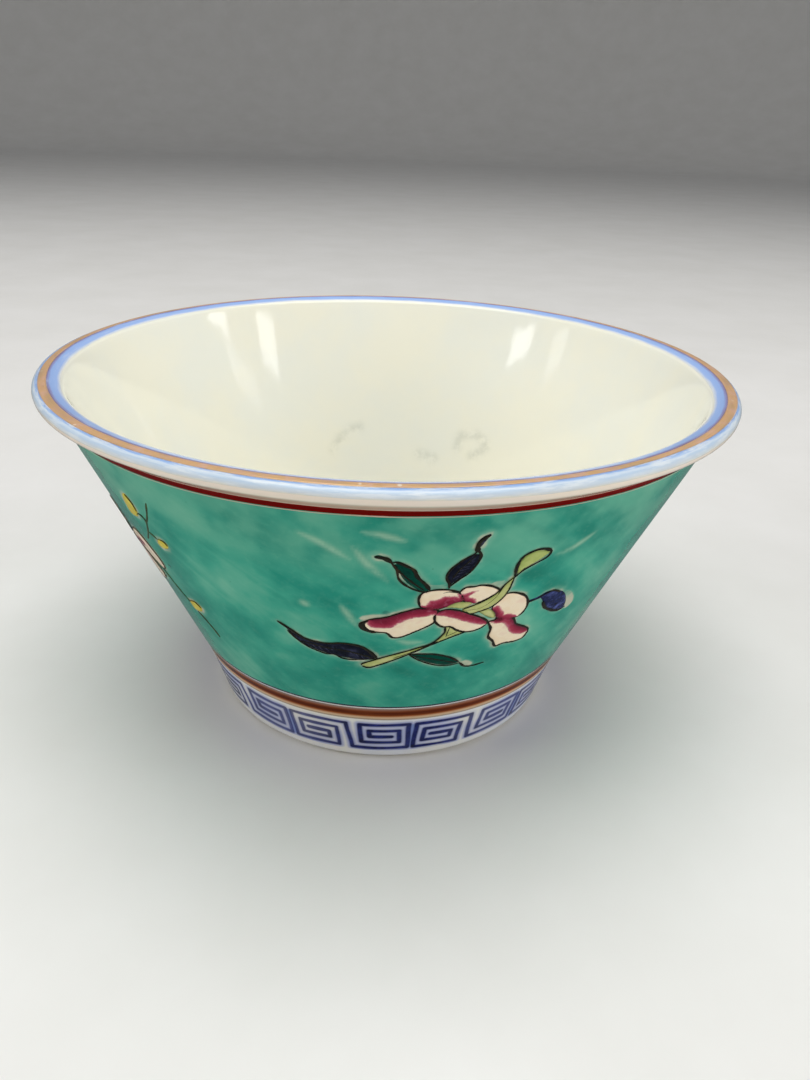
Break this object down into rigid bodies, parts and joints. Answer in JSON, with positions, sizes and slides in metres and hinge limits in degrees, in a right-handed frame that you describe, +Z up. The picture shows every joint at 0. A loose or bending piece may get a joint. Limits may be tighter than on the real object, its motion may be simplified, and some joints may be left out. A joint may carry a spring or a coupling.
{
  "type": "rice bowl",
  "caption": "Porcelain rice bowl with a straight flared wall, an everted rim and a straight foot ring, painted in enamels, that holds a single portion of food.",
  "frame": {"origin": "centre of the foot ring's bearing face, on the ground", "axes": "+Z up along the bowl's axis of rotation, -Y towards the front flower spray"},
  "size_m": [0.124, 0.124, 0.066],
  "materials": {
    "clay": "matt",
    "white_glaze": "gloss",
    "blue_enamel": "gloss",
    "gilt_enamel": "satin",
    "red_enamel": "gloss",
    "turquoise_enamel": "gloss",
    "black_enamel": "gloss",
    "brown_enamel": "gloss",
    "cobalt_blue": "gloss",
    "cream_enamel": "gloss",
    "magenta_enamel": "gloss",
    "lime_enamel": "gloss",
    "navy_enamel": "gloss",
    "green_enamel": "gloss",
    "yellow_enamel": "gloss",
    "twig_enamel": "gloss"
  },
  "bodies": {
    "root": {"clay_bowl": "clay", "clay_foot_ring": "clay", "inner_glaze": "white_glaze", "outer_glaze": "white_glaze", "base_glaze": "white_glaze", "rim_blue_inner": "blue_enamel", "rim_blue_outer": "blue_enamel", "rim_gilt": "gilt_enamel", "red_line": "red_enamel", "turquoise_ground": "turquoise_enamel", "dark_line": "black_enamel", "brown_line": "brown_enamel", "key_fret": "cobalt_blue", "front_petals": "cream_enamel", "back_petals": "cream_enamel", "left_blossom": "cream_enamel", "right_blossom": "cream_enamel", "front_petal_blush": "magenta_enamel", "back_petal_blush": "magenta_enamel", "left_blossom_blush": "magenta_enamel", "right_blossom_blush": "magenta_enamel", "front_throat": "lime_enamel", "front_stem": "lime_enamel", "front_lime_leaf": "lime_enamel", "back_throat": "lime_enamel", "back_stem": "lime_enamel", "back_lime_leaf": "lime_enamel", "front_navy_leaves": "navy_enamel", "front_bud": "navy_enamel", "back_navy_leaves": "navy_enamel", "back_bud": "navy_enamel", "front_green_leaves": "green_enamel", "back_green_leaves": "green_enamel", "left_yellow_buds": "yellow_enamel", "right_yellow_buds": "yellow_enamel", "left_twigs": "twig_enamel", "right_twigs": "twig_enamel"}
  },
  "joints": []
}
